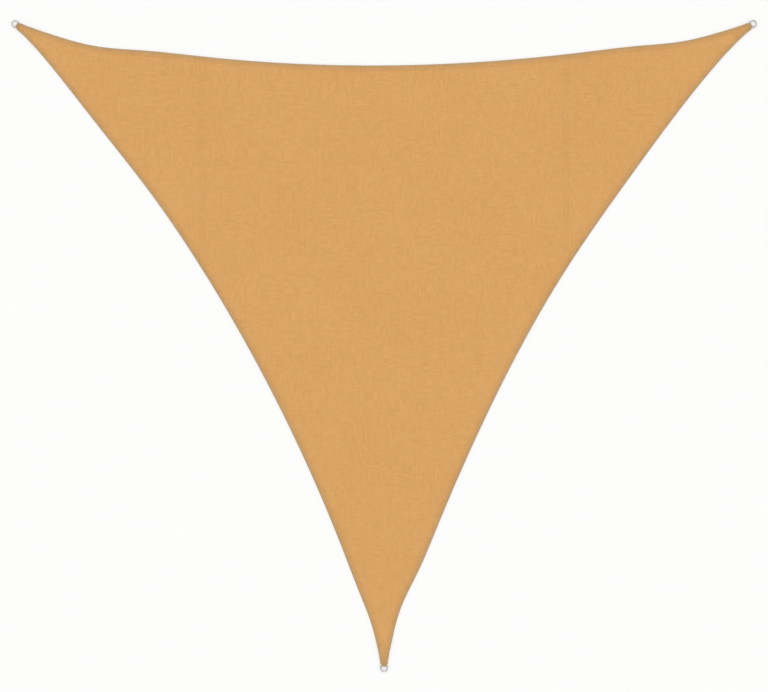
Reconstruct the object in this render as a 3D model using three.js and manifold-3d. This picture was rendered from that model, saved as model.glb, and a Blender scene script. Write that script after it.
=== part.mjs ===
// A triangular shade sail of knitted cloth, laid out flat with its right side up.
// Three strips of cloth are joined by two lapped seams and hemmed all round, and each corner
// ends in a webbing loop that holds a steel D-ring. Millimetres, +Z up, the underside at z = 0.
import * as THREE from "three";
import { mergeVertices } from "three/addons/utils/BufferGeometryUtils.js";
import Module from "manifold-3d";

const wasm = await Module();
wasm.setup();

// ---------------------------------------------------------------- driving dimensions

const TOP_SPAN = 3556; // between the two top corner points, just inside their rings' bows
const DROP = 3105; // from the top span down to the bottom corner point

const CLOTH = 1.2; // one layer of knitted shade cloth
const GAP = 0.3; // between pieces that lie on each other
const CLEAR = 0.05; // under a ring's bow, which hangs down from its bar
const OVER = 1; // how far a cut reaches past the cloth it cuts

const HEM = { width: 25, height: 3, round: 0.9 };
const SEAM = { fromMiddle: 876, lap: 30, ramp: 8 };

// The neck is where two hems run together at a corner. Its cloth is folded round the webbing.
const NECK = {
  width: 31, // across the hems at the corner point
  fade: 60, // how fast that width is lost in the slant of the edges
  start: 8, // from the ring's bar back to the end of the cloth
  height: 6, // the folded layers with the webbing between them
  flat: 108, // stretch at full height
  slope: 70, // stretch that falls back to the height of the hem
};

// Merge is where the loop's two legs meet, and tail where it ends, both back from the ring's bar.
const WEBBING = { width: 25, thick: 1.5, merge: 7.5, tail: 112 };

// A D-ring: a straight bar, two short legs and a half-round bow, bent from round wire.
const RING = { wire: 5, width: 31, leg: 12.5, corner: 3, fromPoint: 12 };

const CORNERS = {
  left: new THREE.Vector2(-TOP_SPAN / 2, 0),
  bottom: new THREE.Vector2(0, -DROP),
  right: new THREE.Vector2(TOP_SPAN / 2, 0),
};

// Each edge is drawn in along its whole length, deeper on one side of its middle where it has
// skew, and a shoulder near each end draws it further in, or lets it out where it is negative.
// "At" is the shoulder's distance from that end's corner point.
const EDGES = [
  {
    from: "left",
    to: "bottom",
    draw: 201,
    skew: 0,
    fromPush: -13,
    fromAt: 610,
    toPush: 8,
    toAt: 230,
  },
  {
    from: "bottom",
    to: "right",
    draw: 201,
    skew: 0.17,
    fromPush: 22,
    fromAt: 286,
    toPush: -20,
    toAt: 900,
  },
  {
    from: "right",
    to: "left",
    draw: 201,
    skew: 0.07,
    fromPush: 19,
    fromAt: 333,
    toPush: 25,
    toAt: 372,
  },
];
const SHOULDER_SPREAD = 0.62; // a shoulder's half-length, as a share of its distance

const EDGE_STEPS = 40; // straight stretches along each edge, shorter towards the corners
const BOW_STEPS = 21; // an odd number, so that one flat lies across the middle of the bow
const CORNER_STEPS = 4; // round each corner between the ring's bar and its legs
const WIRE_SIDES = 10;

// ---------------------------------------------------------------- materials

const clothMaterial = new THREE.MeshStandardMaterial({
  color: new THREE.Color().setRGB(0.851, 0.643, 0.4, THREE.SRGBColorSpace),
  roughness: 0.9,
  metalness: 0,
});
const webbingMaterial = new THREE.MeshStandardMaterial({
  color: new THREE.Color().setRGB(0.77, 0.585, 0.37, THREE.SRGBColorSpace),
  roughness: 0.8,
  metalness: 0,
});
const steelMaterial = new THREE.MeshStandardMaterial({
  color: new THREE.Color().setRGB(0.78, 0.78, 0.77, THREE.SRGBColorSpace),
  roughness: 0.25,
  metalness: 1,
});

// ---------------------------------------------------------------- joining and cutting

function solidOf(geometry) {
  const bare = geometry.index ? geometry.toNonIndexed() : geometry.clone();
  bare.deleteAttribute("normal");
  bare.deleteAttribute("uv");
  const merged = mergeVertices(bare, 1e-4);
  return new wasm.Manifold(
    new wasm.Mesh({
      numProp: 3,
      vertProperties: merged.attributes.position.array,
      triVerts: new Uint32Array(merged.index.array),
    }),
  );
}

function meshOf(solid, name, material) {
  const made = solid.getMesh();
  const geometry = new THREE.BufferGeometry();
  geometry.setAttribute("position", new THREE.BufferAttribute(made.vertProperties, 3));
  geometry.setIndex(new THREE.BufferAttribute(made.triVerts, 1));
  geometry.computeVertexNormals();
  const mesh = new THREE.Mesh(geometry, material);
  mesh.name = name;
  return mesh;
}

// A flat shape pushed up from one height to another, its edge rounded if asked.
function slab(shape, low, high, round = 0) {
  const geometry = new THREE.ExtrudeGeometry(shape, {
    depth: high - low - 2 * round,
    steps: 1,
    bevelEnabled: round > 0,
    bevelThickness: round,
    bevelSize: round,
    bevelOffset: -round,
    bevelSegments: 2,
  });
  geometry.translate(0, 0, low + round);
  return solidOf(geometry);
}

// A profile of (across, height) points, run along Y from one end to the other.
function bar(points, fromY, toY) {
  const shape = new THREE.Shape(points.map(([across, height]) => new THREE.Vector2(across, height)));
  const geometry = new THREE.ExtrudeGeometry(shape, {
    depth: toY - fromY,
    steps: 1,
    bevelEnabled: false,
  });
  geometry.rotateX(Math.PI / 2);
  geometry.translate(0, toY, 0);
  return solidOf(geometry);
}

function box(low, high) {
  const size = new THREE.Vector3().subVectors(high, low);
  const middle = new THREE.Vector3().addVectors(low, high).divideScalar(2);
  const geometry = new THREE.BoxGeometry(size.x, size.y, size.z);
  geometry.translate(middle.x, middle.y, middle.z);
  return solidOf(geometry);
}

// ---------------------------------------------------------------- the sail's outline

// How far an edge is drawn in from its straight line, at a distance from its first corner.
function drawIn(edge, along, length) {
  const share = along / length;
  const back = length - along;
  const shoulder = (push, at, distance) =>
    push * Math.exp(-(((distance - at) / (SHOULDER_SPREAD * at)) ** 2));
  const halfNeck = NECK.width / 2 / Math.cos(Math.PI / 6);
  const neck = halfNeck * (Math.exp(-along / NECK.fade) + Math.exp(-back / NECK.fade));
  const bow = edge.draw * 4 * share * (1 - share) * (1 + edge.skew * (2 * share - 1));
  const first = shoulder(edge.fromPush, edge.fromAt, along);
  const last = shoulder(edge.toPush, edge.toAt, back);
  return bow + first + last - neck;
}

function edgeLength(edge) {
  return CORNERS[edge.from].distanceTo(CORNERS[edge.to]);
}

// The corners run anticlockwise, so the cloth lies to the left of each edge's line.
function edgePoint(edge, along, inset = 0) {
  const length = edgeLength(edge);
  const place = (distance) => {
    const way = CORNERS[edge.to].clone().sub(CORNERS[edge.from]).normalize();
    const inward = new THREE.Vector2(-way.y, way.x);
    return CORNERS[edge.from]
      .clone()
      .addScaledVector(way, distance)
      .addScaledVector(inward, drawIn(edge, distance, length));
  };
  const here = place(along);
  const tangent = place(along + 1).sub(place(along - 1)).normalize();
  return here.add(new THREE.Vector2(-tangent.y, tangent.x).multiplyScalar(inset));
}

// The way out of the sail at a corner: the middle line of the neck.
const OUTWARD = Object.fromEntries(
  Object.entries(CORNERS).map(([name, corner]) => {
    const reach = 2 * NECK.fade;
    const leaving = EDGES.find((edge) => edge.from === name);
    const arriving = EDGES.find((edge) => edge.to === name);
    const one = edgePoint(leaving, reach);
    const other = edgePoint(arriving, edgeLength(arriving) - reach);
    return [name, corner.clone().sub(one.add(other).divideScalar(2)).normalize()];
  }),
);

// Distance along an edge, from one of its ends, at which the cloth starts: past the cut across
// the neck, and on the edge's own side of the neck's middle line.
function clothStart(edge, atEnd, inset) {
  const name = atEnd ? edge.to : edge.from;
  const length = edgeLength(edge);
  const inside = (distance) => {
    const point = edgePoint(edge, atEnd ? length - distance : distance, inset).sub(CORNERS[name]);
    const pastCut = -point.dot(OUTWARD[name]) - (RING.fromPoint + NECK.start);
    const side = OUTWARD[name].cross(point) * (atEnd ? -1 : 1);
    return Math.min(pastCut, side) >= 0;
  };
  let low = 0;
  let high = length / 4;
  for (let halving = 0; halving < 40; halving += 1) {
    const middle = (low + high) / 2;
    if (inside(middle)) high = middle;
    else low = middle;
  }
  return high;
}

// The sail's outline, or the line that runs inside it at a given distance.
function outline(inset = 0) {
  const points = [];
  for (const edge of EDGES) {
    const first = clothStart(edge, false, inset);
    const last = edgeLength(edge) - clothStart(edge, true, inset);
    for (let step = 0; step <= EDGE_STEPS; step += 1) {
      const share = (1 - Math.cos((Math.PI * step) / EDGE_STEPS)) / 2;
      points.push(edgePoint(edge, first + (last - first) * share, inset));
    }
  }
  const apart = (point, next) => point.distanceTo(next) > CLEAR;
  return new THREE.Shape(points.filter((point, i) => apart(point, points[(i + 1) % points.length])));
}

// ---------------------------------------------------------------- cloth

// A piece modelled with its ring's bar at the origin and +X leading out, set at its corner.
function atCorner(solid, name) {
  const way = OUTWARD[name];
  const place = CORNERS[name].clone().addScaledVector(way, -RING.fromPoint);
  const turn = THREE.MathUtils.radToDeg(Math.atan2(way.y, way.x));
  return solid.rotate([0, 0, turn]).translate([place.x, place.y, 0]);
}

const outer = outline();
const hemBand = slab(outer, 0, HEM.height, HEM.round).subtract(
  slab(outline(HEM.width), -OVER, HEM.height + OVER),
);
const withinHem = slab(outline(HEM.width / 2), 0, NECK.height);
const withinEdge = slab(outer, 0, NECK.height, HEM.round);

// The folded layers at a corner, open towards the ring so that the webbing's tail goes in.
function neckCloth(name) {
  const wide = 2 * NECK.width;
  const layers = bar(
    [
      [-NECK.start - NECK.flat - NECK.slope, 0],
      [-NECK.start + OVER, 0],
      [-NECK.start + OVER, NECK.height],
      [-NECK.start - NECK.flat, NECK.height],
      [-NECK.start - NECK.flat - NECK.slope, HEM.height],
    ],
    -wide,
    wide,
  );
  return atCorner(layers, name).intersect(withinEdge);
}

function neckPocket(name) {
  const half = WEBBING.width / 2 + GAP;
  const pocket = box(
    new THREE.Vector3(-WEBBING.tail - GAP, -half, CLOTH),
    new THREE.Vector3(0, half, NECK.height - CLOTH),
  );
  return atCorner(pocket, name);
}

const FAR = TOP_SPAN + DROP; // beyond the sail on every side
const lapIn = SEAM.fromMiddle - SEAM.lap / 2; // the side panels' inner edges
const lapOut = SEAM.fromMiddle + SEAM.lap / 2; // the middle panel's outer edges
const rampTop = lapIn - GAP;
const rampFoot = rampTop - SEAM.ramp;
const raised = CLOTH + GAP;

// The middle panel climbs onto the side panels at both seams.
function middlePanel() {
  const half = [
    [rampFoot, 0],
    [rampTop, raised],
    [lapOut, raised],
  ];
  const mirrored = half.map(([across, height]) => [-across, height]).reverse();
  const under = [...mirrored, ...half];
  const over = under.map(([across, height]) => [across, height + CLOTH]).reverse();
  const sheet = bar([...under, ...over], -FAR, FAR).intersect(withinHem);
  const floor = [
    [-lapOut, -OVER],
    [lapOut, -OVER],
  ];
  const below = bar([...floor, ...under.toReversed()], -FAR, FAR);
  const span = box(
    new THREE.Vector3(-lapOut, -FAR, 0),
    new THREE.Vector3(lapOut, FAR, NECK.height),
  );
  const hem = hemBand.intersect(span).subtract(below);
  return sheet.add(hem).add(neckCloth("bottom")).subtract(neckPocket("bottom"));
}

// A side panel lies under the middle one, so its hem is flattened there.
function sidePanel(name) {
  const side = name === "left" ? -1 : 1;
  const across = (one, other, low, high) =>
    box(
      new THREE.Vector3(Math.min(side * one, side * other), -FAR, low),
      new THREE.Vector3(Math.max(side * one, side * other), FAR, high),
    );
  const span = across(lapIn, FAR, 0, NECK.height);
  const above = across(lapIn - OVER, lapOut + GAP, CLOTH, NECK.height + OVER);
  const sheet = withinHem.intersect(across(0, FAR, 0, CLOTH));
  return sheet
    .add(hemBand)
    .add(neckCloth(name))
    .subtract(neckPocket(name))
    .intersect(span)
    .subtract(above);
}

// ---------------------------------------------------------------- corner fittings

const barHeight = RING.wire / 2 + GAP + WEBBING.thick; // the loop's underside lies on the ground
const tailLow = CLOTH + GAP;
const tailHigh = tailLow + 2 * WEBBING.thick;

// The angle on a circle round the bar where a straight line from a point behind it touches,
// above the bar (side 1) or below it (side -1).
function touchAngle(x, z, radius, side) {
  const toPoint = Math.atan2(z - barHeight, x);
  return toPoint - side * Math.acos(radius / Math.hypot(x, z - barHeight));
}

// Webbing folded round the ring's bar; its two legs are sewn together into one tail.
function webbingLoop(name) {
  const outerRadius = RING.wire / 2 + GAP + WEBBING.thick;
  const innerRadius = RING.wire / 2 + GAP;
  const shape = new THREE.Shape();
  shape.moveTo(-WEBBING.tail, tailLow);
  shape.lineTo(-WEBBING.merge, tailLow);
  const under = touchAngle(-WEBBING.merge, tailLow, outerRadius, -1);
  const over = touchAngle(-WEBBING.merge, tailHigh, outerRadius, 1);
  shape.absarc(0, barHeight, outerRadius, under, over, false);
  shape.lineTo(-WEBBING.merge, tailHigh);
  shape.lineTo(-WEBBING.tail, tailHigh);
  const eye = new THREE.Path();
  const tip = [-WEBBING.merge + 2 * WEBBING.thick, (tailLow + tailHigh) / 2];
  const top = touchAngle(...tip, innerRadius, 1);
  eye.moveTo(...tip);
  eye.lineTo(innerRadius * Math.cos(top), barHeight + innerRadius * Math.sin(top));
  eye.absarc(0, barHeight, innerRadius, top, touchAngle(...tip, innerRadius, -1), true);
  shape.holes.push(eye);
  const geometry = new THREE.ExtrudeGeometry(shape, {
    depth: WEBBING.width,
    steps: 1,
    bevelEnabled: false,
    curveSegments: 10,
  });
  geometry.rotateX(Math.PI / 2);
  geometry.translate(0, WEBBING.width / 2, 0);
  return atCorner(solidOf(geometry), name);
}

// The wire's middle line, from the middle of the bar and round: points with their way ahead.
function ringLine() {
  const half = RING.width / 2;
  const inner = half - RING.corner;
  const quarter = Math.PI / 2;
  const straight = (fromX, fromY, toX, toY) =>
    new THREE.LineCurve(new THREE.Vector2(fromX, fromY), new THREE.Vector2(toX, toY));
  const bend = (x, y, radius, start, end) => new THREE.ArcCurve(x, y, radius, start, end, false);
  const stretches = [
    { curve: straight(0, inner, 0, -inner), steps: 2 },
    { curve: bend(RING.corner, -inner, RING.corner, 2 * quarter, 3 * quarter), steps: CORNER_STEPS },
    { curve: straight(RING.corner, -half, RING.leg, -half), steps: 1 },
    { curve: bend(RING.leg, 0, half, -quarter, quarter), steps: BOW_STEPS },
    { curve: straight(RING.leg, half, RING.corner, half), steps: 1 },
    { curve: bend(RING.corner, inner, RING.corner, quarter, 2 * quarter), steps: CORNER_STEPS },
  ];
  return stretches.flatMap(({ curve, steps }) =>
    Array.from({ length: steps }, (_, step) => ({
      point: curve.getPoint(step / steps),
      way: curve.getTangent(step / steps),
    })),
  );
}

// A torus is already a closed tube: each of its sections is moved to a place on the D.
function dRing(name) {
  const line = ringLine();
  const radius = RING.wire / 2;
  const geometry = new THREE.TorusGeometry(RING.width, radius, WIRE_SIDES, line.length);
  const position = geometry.attributes.position;
  const around = line.length + 1;
  for (let side = 0; side <= WIRE_SIDES; side += 1) {
    const turn = ((side + 0.5) / WIRE_SIDES) * 2 * Math.PI;
    for (let step = 0; step < around; step += 1) {
      const { point, way } = line[step % line.length];
      const outward = new THREE.Vector2(way.y, -way.x).multiplyScalar(radius * Math.cos(turn));
      const place = point.clone().add(outward);
      position.setXYZ(side * around + step, place.x, place.y, radius * Math.sin(turn));
    }
  }
  const droop = Math.asin((barHeight - radius - CLEAR) / (RING.leg + RING.width / 2));
  geometry.rotateY(droop);
  geometry.translate(0, 0, barHeight);
  return atCorner(solidOf(geometry), name);
}

// ---------------------------------------------------------------- the whole sail

const sail = new THREE.Group();
sail.add(meshOf(sidePanel("left"), "panel_left", clothMaterial));
sail.add(meshOf(middlePanel(), "panel_middle", clothMaterial));
sail.add(meshOf(sidePanel("right"), "panel_right", clothMaterial));
for (const name of Object.keys(CORNERS)) {
  sail.add(meshOf(webbingLoop(name), `webbing_${name}`, webbingMaterial));
  sail.add(meshOf(dRing(name), `ring_${name}`, steelMaterial));
}

// The origin is under the middle of the whole outline.
const middle = new THREE.Box3().setFromObject(sail, true).getCenter(new THREE.Vector3());
sail.position.set(-middle.x, -middle.y, 0);

export default sail;
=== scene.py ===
"""Looks of a triangular shade sail: knitted cloth panels, stitching, webbing loops and D-rings.

It is laid out as an add-on: sizes and colours are in property groups, each kind of piece has
its own operator, and a panel in the 3D view's sidebar lists them. All sizes are in metres,
but for the camera's lens and picture.
"""

import math

import bmesh
import bpy
import numpy as np
from mathutils import Matrix, Vector


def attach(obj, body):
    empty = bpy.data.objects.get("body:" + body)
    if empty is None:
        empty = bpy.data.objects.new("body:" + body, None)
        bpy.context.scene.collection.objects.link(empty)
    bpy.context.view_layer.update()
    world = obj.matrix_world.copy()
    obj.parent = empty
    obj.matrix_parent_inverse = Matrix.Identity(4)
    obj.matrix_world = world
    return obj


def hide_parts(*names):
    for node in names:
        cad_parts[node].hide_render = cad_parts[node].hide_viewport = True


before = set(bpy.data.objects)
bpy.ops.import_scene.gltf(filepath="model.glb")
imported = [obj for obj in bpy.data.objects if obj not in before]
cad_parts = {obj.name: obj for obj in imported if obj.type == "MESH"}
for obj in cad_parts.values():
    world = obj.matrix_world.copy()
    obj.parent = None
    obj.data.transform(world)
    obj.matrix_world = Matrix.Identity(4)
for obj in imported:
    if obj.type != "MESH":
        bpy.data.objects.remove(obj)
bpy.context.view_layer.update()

bl_info = {
    "name": "Shade Sail",
    "version": (1, 0, 0),
    "blender": (4, 5, 0),
    "location": "View3D > Sidebar > Shade Sail",
    "description": "Makes a triangular shade sail with hems, seams, webbing loops and D-rings",
    "category": "Add Mesh",
}

BODY = "root"
MM = 0.001

# ---------------------------------------------------------------- the sail's outline

TOP_SPAN = 3556 * MM  # between the two top corner points, just inside their rings' bows
DROP = 3105 * MM  # from the top span down to the bottom corner point
TOP_Y = 1552.6 * MM  # the top corner points, from the middle of the sail's box
CLOTH = 1.2 * MM  # one layer of cloth
SHOULDER_SPREAD = 0.62  # a shoulder's half-length, as a share of its distance
NECK_WIDTH = 31 * MM  # across the hems at a corner point
NECK_FADE = 60 * MM  # how fast that width is lost in the slant of the edges
BAR_INSET = 12 * MM  # from a corner point back to its ring's bar
HALF_CORNER = math.pi / 6  # about half of the angle between two edges' straight lines
NEAR = 1 * MM  # step for slopes

CORNERS = {
    "left": np.array([-TOP_SPAN / 2, TOP_Y]),
    "bottom": np.array([0.0, TOP_Y - DROP]),
    "right": np.array([TOP_SPAN / 2, TOP_Y]),
}


def smooth(value, low, high):
    """0 up to low, 1 from high on, and an easy curve between."""
    share = np.clip((np.asarray(value, float) - low) / (high - low), 0, 1)
    return share * share * (3 - 2 * share)


class Edge:
    """A drawn-in edge of the sail. Corners run anticlockwise, so the cloth lies to its left."""

    def __init__(self, start, end, draw, skew, shoulders):
        self.start, self.end = start, end
        self.draw, self.skew, self.shoulders = draw, skew, shoulders
        run = CORNERS[end] - CORNERS[start]
        self.length = float(np.hypot(*run))
        self.way = run / self.length
        self.inward = np.array([-self.way[1], self.way[0]])

    def draw_in(self, along):
        """How far the edge stands in from its straight line."""
        share, back = along / self.length, self.length - along
        bow = self.draw * 4 * share * (1 - share) * (1 + self.skew * (2 * share - 1))
        for (push, at), distance in zip(self.shoulders, (along, back), strict=True):
            bow = bow + push * np.exp(-(((distance - at) / (SHOULDER_SPREAD * at)) ** 2))
        neck = np.exp(-along / NECK_FADE) + np.exp(-back / NECK_FADE)
        return bow - NECK_WIDTH / 2 / math.cos(HALF_CORNER) * neck

    def slope(self, along):
        return (self.draw_in(along + NEAR) - self.draw_in(along - NEAR)) / (2 * NEAR)

    def point(self, along, inset=0.0):
        """The point at a distance along the edge, or inset into the cloth from there."""
        along = np.asarray(along, float)[..., None]
        slope = self.slope(along)
        normal = (self.inward - slope * self.way) / np.sqrt(1 + slope**2)
        line = CORNERS[self.start] + along * self.way
        return line + self.draw_in(along) * self.inward + inset * normal

    def distance(self, x, y):
        """How far a point is inside the edge."""
        across = np.stack([x, y], -1) - CORNERS[self.start]
        along = np.clip(across @ self.way, 0, self.length)
        return (across @ self.inward - self.draw_in(along)) / np.hypot(1, self.slope(along))

    def from_corner(self, corner, distance):
        """The distance along the edge of a place measured from one of its corners."""
        return distance if corner == self.start else self.length - distance


LEFT_EDGE = Edge("left", "bottom", 201 * MM, 0.0, ((-13 * MM, 610 * MM), (8 * MM, 230 * MM)))
RIGHT_EDGE = Edge(
    "bottom", "right", 201 * MM, 0.17, ((22 * MM, 286 * MM), (-20 * MM, 900 * MM))
)
TOP_EDGE = Edge("right", "left", 201 * MM, 0.07, ((19 * MM, 333 * MM), (25 * MM, 372 * MM)))
EDGES = {"left": LEFT_EDGE, "right": RIGHT_EDGE, "top": TOP_EDGE}
EDGES_AT = {
    "left": (LEFT_EDGE, TOP_EDGE),
    "bottom": (LEFT_EDGE, RIGHT_EDGE),
    "right": (RIGHT_EDGE, TOP_EDGE),
}


def way_out(corner):
    """The direction out of the sail at a corner, down the middle of its neck."""
    reach = 2 * NECK_FADE
    sides = [edge.point(edge.from_corner(corner, reach)) for edge in EDGES_AT[corner]]
    outward = CORNERS[corner] - sum(sides) / 2
    return outward / np.hypot(*outward)


OUTWARD = {corner: way_out(corner) for corner in CORNERS}
BARS = {corner: CORNERS[corner] - BAR_INSET * OUTWARD[corner] for corner in CORNERS}


def depth(corner, x, y):
    """How far back from a corner's bar a point is."""
    return -((np.stack([x, y], -1) - BARS[corner]) @ OUTWARD[corner])


def nearest_depth(x, y):
    """How far back from the nearest corner's bar a point is."""
    return np.minimum.reduce([depth(corner, x, y) for corner in CORNERS])


def edge_distance(x, y):
    """How far a point is inside the sail's outline."""
    return np.minimum.reduce([edge.distance(x, y) for edge in EDGES.values()])


# ---------------------------------------------------------------- sizes and colours


class ClothSizes(bpy.types.PropertyGroup):
    """The knitted cloth, its hems and its seams."""

    thickness: bpy.props.FloatProperty(
        name="Thickness", description="One layer of cloth", default=CLOTH, unit="LENGTH"
    )
    hem_width: bpy.props.FloatProperty(
        name="Hem width", description="Width of the hem", default=25 * MM, unit="LENGTH"
    )
    hem_height: bpy.props.FloatProperty(
        name="Hem height", description="Height of the folded hem", default=3 * MM, unit="LENGTH"
    )
    seam_from_middle: bpy.props.FloatProperty(
        name="Seam", description="From the middle to each seam", default=876 * MM, unit="LENGTH"
    )
    lap: bpy.props.FloatProperty(
        name="Lap", description="Width of the lapped seams", default=30 * MM, unit="LENGTH"
    )
    neck_height: bpy.props.FloatProperty(
        name="Neck height", description="Folded layers at a corner", default=6 * MM, unit="LENGTH"
    )
    wave: bpy.props.FloatProperty(
        name="Wave", description="Height of the low waves", default=1.6 * MM, unit="LENGTH"
    )
    wale: bpy.props.FloatProperty(
        name="Wale", description="Between two upright chains", default=3.2 * MM, unit="LENGTH"
    )
    course: bpy.props.FloatProperty(
        name="Course", description="Between two rows of tape", default=2.2 * MM, unit="LENGTH"
    )
    mottle: bpy.props.FloatProperty(
        name="Mottle", description="Strength of the pale and dark marks", default=0.052
    )
    field_colour: bpy.props.FloatVectorProperty(
        name="Field", description="Single cloth", default=(0.654, 0.346, 0.1165), subtype="COLOR"
    )
    hem_colour: bpy.props.FloatVectorProperty(
        name="Hem", description="Folded cloth", default=(0.555, 0.308, 0.112), subtype="COLOR"
    )
    # painted shade: the hem's rolled outer fold and the ends of the necks get this darker, greyer
    # colour
    fold_shade_colour: bpy.props.FloatVectorProperty(
        name="Fold",
        description="The hem's outer fold",
        default=(0.487, 0.313, 0.151),
        subtype="COLOR",
    )


class StitchSizes(bpy.types.PropertyGroup):
    """The thread and its rows."""

    pitch: bpy.props.FloatProperty(
        name="Pitch", description="From stitch to stitch", default=5 * MM, unit="LENGTH"
    )
    thread: bpy.props.FloatProperty(
        name="Thread", description="Thickness of the thread", default=0.9 * MM, unit="LENGTH"
    )
    outer_row: bpy.props.FloatProperty(
        name="Outer row", description="From the edge", default=4 * MM, unit="LENGTH"
    )
    inner_row: bpy.props.FloatProperty(
        name="Inner row", description="From the edge", default=21 * MM, unit="LENGTH"
    )
    colour: bpy.props.FloatVectorProperty(
        name="Thread", description="Polyester thread", default=(0.67, 0.37, 0.14), subtype="COLOR"
    )


class WebbingSizes(bpy.types.PropertyGroup):
    """The webbing loop at each corner."""

    width: bpy.props.FloatProperty(
        name="Width", description="Width of the webbing", default=25 * MM, unit="LENGTH"
    )
    thickness: bpy.props.FloatProperty(
        name="Thickness", description="One layer of webbing", default=1.5 * MM, unit="LENGTH"
    )
    merge: bpy.props.FloatProperty(
        name="Merge",
        description="From the bar to where the legs meet",
        default=7.5 * MM,
        unit="LENGTH",
    )
    tail: bpy.props.FloatProperty(
        name="Tail", description="From the bar to the tail's end", default=112 * MM, unit="LENGTH"
    )
    ribs: bpy.props.IntProperty(
        name="Ribs", description="Woven ribs across the width", default=10
    )
    stripes: bpy.props.IntProperty(
        name="Stripes", description="Darker stripes across the width", default=3
    )
    colour: bpy.props.FloatVectorProperty(
        name="Webbing", description="Woven polyester", default=(0.525, 0.36, 0.183), subtype="COLOR"
    )


class RingSizes(bpy.types.PropertyGroup):
    """The D-ring at each corner."""

    wire: bpy.props.FloatProperty(
        name="Wire", description="Thickness of the wire", default=5 * MM, unit="LENGTH"
    )
    width: bpy.props.FloatProperty(
        name="Width", description="Between the legs' middle lines", default=31 * MM, unit="LENGTH"
    )
    leg: bpy.props.FloatProperty(
        name="Leg", description="From the bar to the bow's middle", default=12.5 * MM, unit="LENGTH"
    )
    corner: bpy.props.FloatProperty(
        name="Corner", description="Bend from bar to leg", default=3 * MM, unit="LENGTH"
    )
    colour: bpy.props.FloatVectorProperty(
        name="Steel",
        description="Polished stainless steel",
        default=(0.5, 0.5, 0.49),
        subtype="COLOR",
    )


class StageSettings(bpy.types.PropertyGroup):
    """The floor, the lights and the camera."""

    camera_height: bpy.props.FloatProperty(
        name="Camera height", description="Above the floor", default=10.283, unit="LENGTH"
    )
    lens: bpy.props.FloatProperty(
        name="Lens", description="Focal length in millimetres", default=100.0
    )
    floor_size: bpy.props.FloatProperty(
        name="Floor", description="Side of the floor", default=60.0, unit="LENGTH"
    )
    floor_colour: bpy.props.FloatVectorProperty(
        name="Floor", description="Plain pale floor", default=(0.9, 0.9, 0.895), subtype="COLOR"
    )
    sky: bpy.props.FloatProperty(
        name="Surround", description="Light from all round", default=0.86
    )
    sun: bpy.props.FloatProperty(
        name="Key", description="Strength of the soft key light", default=0.55
    )
    fill: bpy.props.FloatProperty(
        name="Fill", description="Strength of the soft fill light", default=0.3
    )


GROUPS = {
    "sail_cloth": ClothSizes,
    "sail_stitch": StitchSizes,
    "sail_webbing": WebbingSizes,
    "sail_ring": RingSizes,
    "sail_stage": StageSettings,
}

# ---------------------------------------------------------------- relief of the cloth

GAP = 0.3 * MM  # between pieces that lie on each other
CLOTH_START = 8 * MM  # from a ring's bar back to the end of the cloth
NECK_FLAT = 108 * MM  # stretch of the neck at full height
NECK_SLOPE = 70 * MM  # stretch that falls back to the height of the hem
LAP_RAMP = 8 * MM  # width of the ramp up onto a side panel
HEM_STEP = 1.5 * MM  # width of the step down from the hem to the field
GROOVE = 1.3 * MM  # half-width of the groove that a row of stitches pulls in
GROOVE_DEPTH = 0.45 * MM
TENSION = (190 * MM, 330 * MM)  # the hems' rows lie on the stiff corners, and sink in after them
SEAM_GROOVE_DEPTH = 0.08 * MM  # the seams are sewn with less tension than the hems
PILLOW = 0.25 * MM  # how far the hem swells between its rows
ROLL = 1.5 * MM  # radius of the hem's outer fold
RAW_ROLL = 0.5 * MM  # rounding of a cut edge
THINNEST = 0.25  # share of the thickness that is left at the very edge
END_THIN = 0.86  # and at a neck's end, where the webbing goes in and the cloth is thick
PRESS = 5 * MM  # the middle panel's cut edges are pressed down over this width
PRESSED_GAP = 0.2 * MM  # closer to the cloth below by this much
PRESSED_THIN = 0.55  # and thinner by this share
FOLDS = ((0.9 * MM, 2.6, 0.4), (0.5 * MM, 4.3, 2.1))  # height, folds across, phase
FOLD_FADE = 260 * MM  # the folds in a neck die away over this distance
FOLD_INSET = (2 * MM, 8 * MM)  # and they rise between these distances from the edge
WAVES = ((3.1, 1.7, 0.6), (-1.3, 4.2, 2.2), (5.3, -3.7, 4.1), (7.9, 6.1, 1.3))  # x, y, phase
CALM = (180 * MM, 600 * MM)  # the waves rise between these distances from a corner's bar


def lift(cloth, x, y):
    """How far the cloth stands off the ground in low waves, none of them near a corner."""
    calm = smooth(nearest_depth(x, y), *CALM)
    waves = sum(np.sin(a * x + b * y + phase) for a, b, phase in WAVES) / len(WAVES)
    return cloth.wave * calm * (0.5 + 0.5 * waves)


def neck_share(back):
    """1 where a corner's folded layers are at full height, and 0 where they have run out."""
    return 1 - np.clip((back - CLOTH_START - NECK_FLAT) / NECK_SLOPE, 0, 1)


def neck_folds(x, y):
    """Soft ridges that run out of the corners along the cloth."""
    total = np.zeros_like(x)
    for corner, (one, other) in EDGES_AT.items():
        back = depth(corner, x, y)
        near, far = np.maximum(one.distance(x, y), 0), np.maximum(other.distance(x, y), 0)
        across = near / np.maximum(near + far, NEAR)
        fade = np.exp(-((np.maximum(back, 0) / FOLD_FADE) ** 2))
        inside = smooth(np.minimum(near, far), *FOLD_INSET)
        for height, count, phase in FOLDS:
            wave = 0.5 + 0.5 * np.cos(2 * math.pi * count * across + phase)
            total += height * fade * inside * wave
    return total


def hem_share(cloth, inside):
    """1 on the hem and 0 on the single cloth."""
    return 1 - smooth(inside, cloth.hem_width, cloth.hem_width + HEM_STEP)


def stitch_groove(distance, rows, deepest=GROOVE_DEPTH):
    """How deep rows of stitches pull the cloth in, by the distance from an edge or a line."""
    return deepest * sum(np.exp(-(((distance - row) / GROOVE) ** 2)) for row in rows)


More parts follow.
